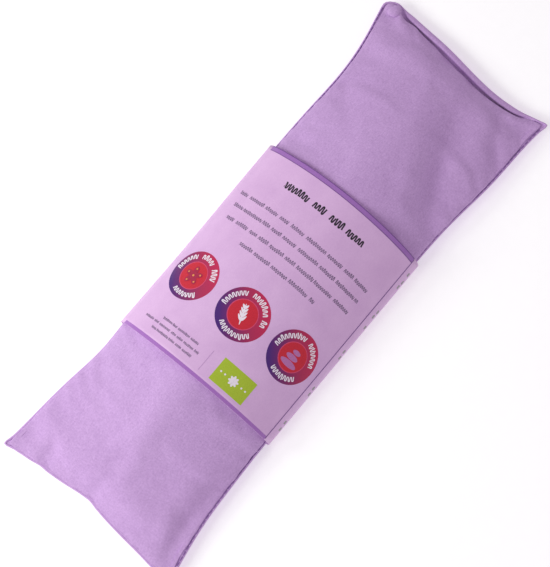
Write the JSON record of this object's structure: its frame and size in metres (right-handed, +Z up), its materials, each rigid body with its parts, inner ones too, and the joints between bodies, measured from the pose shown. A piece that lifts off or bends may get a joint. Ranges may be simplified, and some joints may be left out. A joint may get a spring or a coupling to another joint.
{
  "type": "eye pillow",
  "caption": "Seed-filled eye pillow: an inner pillow in a sewn cloth cover with an open mouth at one end, held in a folded card sleeve.",
  "frame": {"origin": "bottom centre of the whole part, on the surface it lies on", "axes": "+X along the pillow towards the open mouth, +Y across it, +Z up through the front panel"},
  "size_m": [0.24, 0.085, 0.0252],
  "materials": {
    "cover_cloth": "satin",
    "cover_thread": "matte",
    "bag_cloth": "matte",
    "bag_thread": "matte",
    "seed": "satin",
    "card": "satin",
    "glue": "satin"
  },
  "bodies": {
    "cover": {"cover_front_panel": "cover_cloth", "cover_back_panel": "cover_cloth", "side_seam_thread_left": "cover_thread", "side_seam_thread_right": "cover_thread", "end_seam_thread": "cover_thread", "mouth_corner_threads": "cover_thread", "front_hem_thread": "cover_thread", "back_hem_thread": "cover_thread"},
    "inner_pillow": {"inner_bag_front": "bag_cloth", "inner_bag_back": "bag_cloth", "inner_side_thread_left": "bag_thread", "inner_side_thread_right": "bag_thread", "inner_end_thread": "bag_thread", "inner_closing_thread": "bag_thread", "seed_fill": "seed"},
    "sleeve": {"sleeve_card": "card", "sleeve_glue_line": "glue"}
  },
  "joints": [
    {"name": "sleeve_slide", "type": "slide", "parent": "cover", "child": "sleeve", "axis": [-1, 0, 0], "range_m": [-0.18, 0.17], "deforming": ["cover_front_panel", "cover_back_panel", "side_seam_thread_left", "side_seam_thread_right"]},
    {"name": "inner_slide", "type": "slide", "parent": "cover", "child": "inner_pillow", "axis": [1, 0, 0], "range_m": [0, 0.235], "deforming": ["end_seam_thread", "mouth_corner_threads", "front_hem_thread", "back_hem_thread"]}
  ]
}
